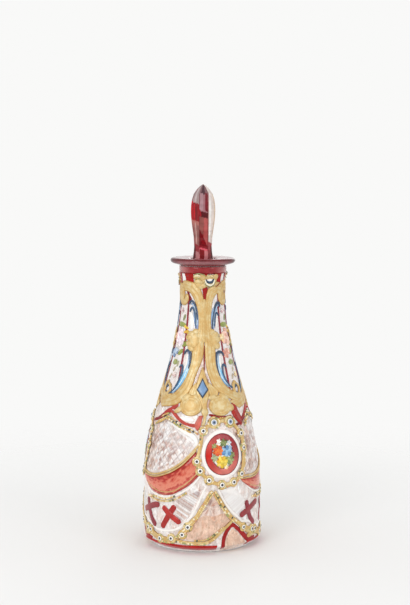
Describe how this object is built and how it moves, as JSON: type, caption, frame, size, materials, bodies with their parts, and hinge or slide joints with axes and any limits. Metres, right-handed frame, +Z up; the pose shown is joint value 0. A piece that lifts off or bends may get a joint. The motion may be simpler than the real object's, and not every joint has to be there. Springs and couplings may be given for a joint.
{
  "type": "cut glass flask",
  "caption": "Tapering clear glass flask with a ruby overlay cut to clear, raised gold scrollwork, enamelled medallions and a faceted ruby stopper that lifts out.",
  "frame": {"origin": "centre of the flask's footprint, on the surface that it stands on", "axes": "+Z up along the neck; the front, with one medallion to the right of the middle, faces -Y; the stopper's flat finial has its width along Y"},
  "size_m": [0.0884, 0.088, 0.2618],
  "materials": {
    "clear_glass": "polished, wheel cut",
    "ruby_glass": "polished",
    "ruby_overlay": "polished thin overlay, cut through",
    "raised_gold": "matt raised gilding over paste",
    "blue_enamel": "fired glass enamel, glossy",
    "white_enamel": "fired glass enamel, satin",
    "painted_enamel": "fired glass enamel in several colours"
  },
  "bodies": {
    "flask": {"glass_body": "clear_glass", "neck_lip": "ruby_glass", "ruby_neck_frame": "ruby_overlay", "ruby_shoulder_line": "ruby_overlay", "gilt_foot_border": "raised_gold", "ruby_foot_band_1": "ruby_overlay", "ruby_arch_1": "ruby_overlay", "ruby_swag_1": "ruby_overlay", "medallion_ring_1": "ruby_overlay", "medallion_ground_1": "white_enamel", "medallion_posy_1": "painted_enamel", "gilt_wreath_1": "raised_gold", "gilt_scroll_1": "raised_gold", "blue_diamond_1": "blue_enamel", "neck_spray_1": "painted_enamel", "blue_hook_upper_left_1": "blue_enamel", "blue_hook_upper_right_1": "blue_enamel", "blue_hook_lower_left_1": "blue_enamel", "blue_hook_lower_right_1": "blue_enamel", "ruby_cross_near_1": "ruby_overlay", "ruby_cross_far_1": "ruby_overlay", "ruby_foot_band_2": "ruby_overlay", "ruby_arch_2": "ruby_overlay", "ruby_swag_2": "ruby_overlay", "medallion_ring_2": "ruby_overlay", "medallion_ground_2": "white_enamel", "medallion_posy_2": "painted_enamel", "gilt_wreath_2": "raised_gold", "gilt_scroll_2": "raised_gold", "blue_diamond_2": "blue_enamel", "neck_spray_2": "painted_enamel", "blue_hook_upper_left_2": "blue_enamel", "blue_hook_upper_right_2": "blue_enamel", "blue_hook_lower_left_2": "blue_enamel", "blue_hook_lower_right_2": "blue_enamel", "ruby_cross_near_2": "ruby_overlay", "ruby_cross_far_2": "ruby_overlay", "ruby_foot_band_3": "ruby_overlay", "ruby_arch_3": "ruby_overlay", "ruby_swag_3": "ruby_overlay", "medallion_ring_3": "ruby_overlay", "medallion_ground_3": "white_enamel", "medallion_posy_3": "painted_enamel", "gilt_wreath_3": "raised_gold", "gilt_scroll_3": "raised_gold", "blue_diamond_3": "blue_enamel", "neck_spray_3": "painted_enamel", "blue_hook_upper_left_3": "blue_enamel", "blue_hook_upper_right_3": "blue_enamel", "blue_hook_lower_left_3": "blue_enamel", "blue_hook_lower_right_3": "blue_enamel", "ruby_cross_near_3": "ruby_overlay", "ruby_cross_far_3": "ruby_overlay"},
    "stopper": {"stopper": "ruby_glass"}
  },
  "joints": [
    {"name": "stopper_lift", "type": "slide", "parent": "flask", "child": "stopper", "axis": [0, 0, 1], "range_m": [0, 0.06]}
  ]
}
